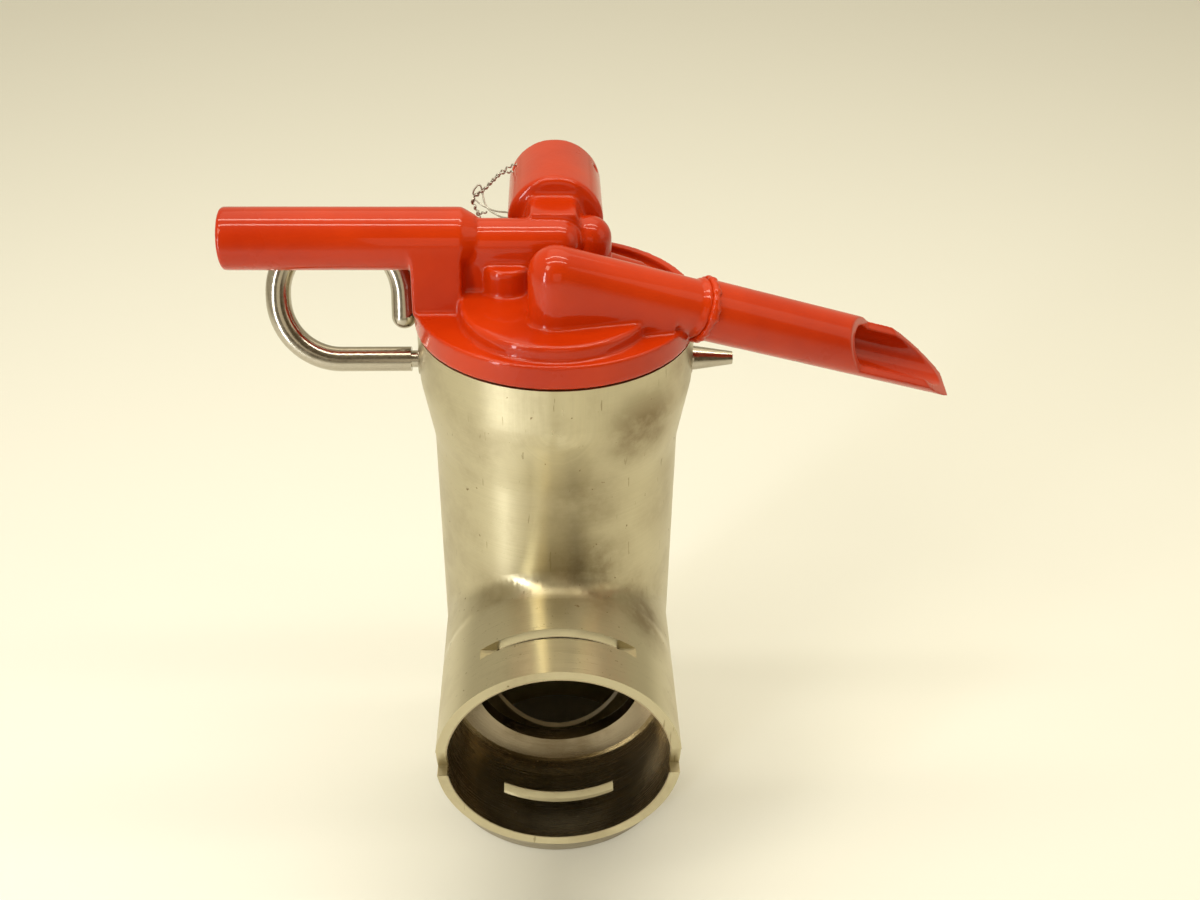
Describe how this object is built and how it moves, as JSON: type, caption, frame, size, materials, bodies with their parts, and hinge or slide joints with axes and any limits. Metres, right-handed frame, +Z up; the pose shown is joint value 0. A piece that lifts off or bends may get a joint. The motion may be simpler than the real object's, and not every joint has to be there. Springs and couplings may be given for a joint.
{
  "type": "diaphragm valve",
  "caption": "Angle-pattern diaphragm valve: steel barrel with side outlet, pinned red bonnet with grip arm, drain spout and pilot, and a J-handled locking pin.",
  "frame": {"origin": "centre of the inlet socket at the barrel's bottom face, on the barrel's axis", "axes": "+Z up the barrel's axis to the bonnet, -Y out of the side outlet, -X along the grip arm and the locking pin's handle"},
  "size_m": [0.2649, 0.1447, 0.2756],
  "materials": {
    "stainless": "brushed stainless steel with handling marks",
    "stainless_dark": "dull machined stainless steel",
    "red_paint": "glossy orange-red paint on a casting",
    "pin_steel": "bead-polished stainless rod",
    "seal_rubber": "black moulded elastomer",
    "diaphragm_rubber": "fabric-reinforced elastomer",
    "bush_plastic": "white bearing plastic",
    "brass_pilot": "turned brass",
    "spring_steel": "spring steel wire",
    "wire_steel": "thin stainless seal wire"
  },
  "bodies": {
    "housing": {"valve_body": "stainless", "inlet_base_ring": "stainless_dark", "outlet_stop_ring": "stainless_dark", "seat_ring": "stainless_dark", "seat_seal": "seal_rubber", "bonnet": "red_paint", "bonnet_gasket": "seal_rubber", "spigot_o_ring": "seal_rubber", "grip_plug": "red_paint", "drain_spout": "red_paint", "pilot_seat": "brass_pilot", "pilot_adjuster": "brass_pilot", "pilot_spring": "spring_steel", "guide_spider": "stainless_dark", "guide_bush": "bush_plastic", "diaphragm": "diaphragm_rubber", "return_spring": "spring_steel", "left_pin_sleeve": "stainless_dark", "right_pin_sleeve": "stainless_dark", "lock_wire": "wire_steel"},
    "plug_assembly": {"stem": "stainless_dark", "plug_disc": "stainless_dark", "plug_seal": "seal_rubber", "seal_retainer": "stainless_dark", "plug_nut": "stainless_dark", "lower_diaphragm_plate": "stainless_dark", "upper_diaphragm_plate": "stainless_dark", "stem_nut": "stainless_dark"},
    "pin_slider": {"pin_snap_ring": "spring_steel"},
    "pin_handle": {"lock_pin": "pin_steel"},
    "pilot_body": {"pilot_piston": "brass_pilot"}
  },
  "joints": [
    {"name": "stem_stroke", "type": "slide", "parent": "housing", "child": "plug_assembly", "axis": [0, 0, -1], "range_m": [0, 0.035], "stiffness_N_per_m": 400, "springref_m": -0.03, "deforming": ["diaphragm", "return_spring"]},
    {"name": "lock_pin_slide", "type": "slide", "parent": "housing", "child": "pin_slider", "axis": [-1, 0, 0], "range_m": [0, 0.13]},
    {"name": "lock_pin_turn", "type": "hinge", "parent": "pin_slider", "child": "pin_handle", "pos_m": [-0.06, 0, 0.2116], "axis": [-1, 0, 0], "range_deg": [0, 310]},
    {"name": "pilot_piston_travel", "type": "slide", "parent": "housing", "child": "pilot_body", "axis": [0, 1, 0], "range_m": [0, 0.003], "stiffness_N_per_m": 1500, "springref_m": -0.004, "deforming": ["pilot_spring"]}
  ]
}
